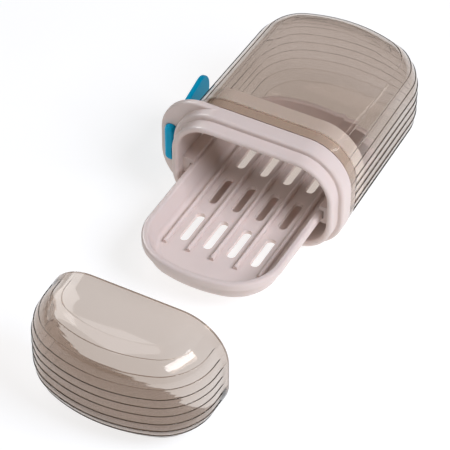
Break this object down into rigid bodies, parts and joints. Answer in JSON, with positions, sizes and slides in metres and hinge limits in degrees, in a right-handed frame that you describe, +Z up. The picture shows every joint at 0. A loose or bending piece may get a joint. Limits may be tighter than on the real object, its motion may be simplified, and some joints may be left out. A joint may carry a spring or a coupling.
{
  "type": "soap dish",
  "caption": "Travel soap dish: ribbed see-through case and lift-off cap on an opaque collar, with a pull-out drain tray and a rocker latch on one side.",
  "frame": {"origin": "underside of the collar's flange, in the middle of its width and half way through its thickness", "axes": "+Z up from the surface it stands on, +Y from the open mouth back along the case, +X to the right seen from the mouth; the latch is on the -X side"},
  "size_m": [0.0907, 0.2351, 0.0515],
  "materials": {
    "smoke_plastic": "clear smoky brown, polished moulding",
    "beige_plastic": "pinkish beige, fine satin moulding",
    "blue_plastic": "teal blue, satin moulding",
    "pin_steel": "drawn wire"
  },
  "bodies": {
    "case": {"rear_case": "smoke_plastic", "collar": "beige_plastic", "latch_pin": "pin_steel"},
    "tray": {"tray": "beige_plastic"},
    "cap": {"front_cap": "smoke_plastic"},
    "latch": {"latch": "blue_plastic"}
  },
  "joints": [
    {"name": "tray_slide", "type": "slide", "parent": "case", "child": "tray", "axis": [0, 1, 0], "range_m": [0, 0.033]},
    {"name": "cap_fit", "type": "slide", "parent": "tray", "child": "cap", "axis": [-0.0334, 0.9994, 0], "range_m": [0, 0.06889]},
    {"name": "latch_rock", "type": "hinge", "parent": "case", "child": "latch", "pos_m": [-0.043, 0.00225, 0.0259], "axis": [0, 0, -1], "range_deg": [0, 7]}
  ]
}
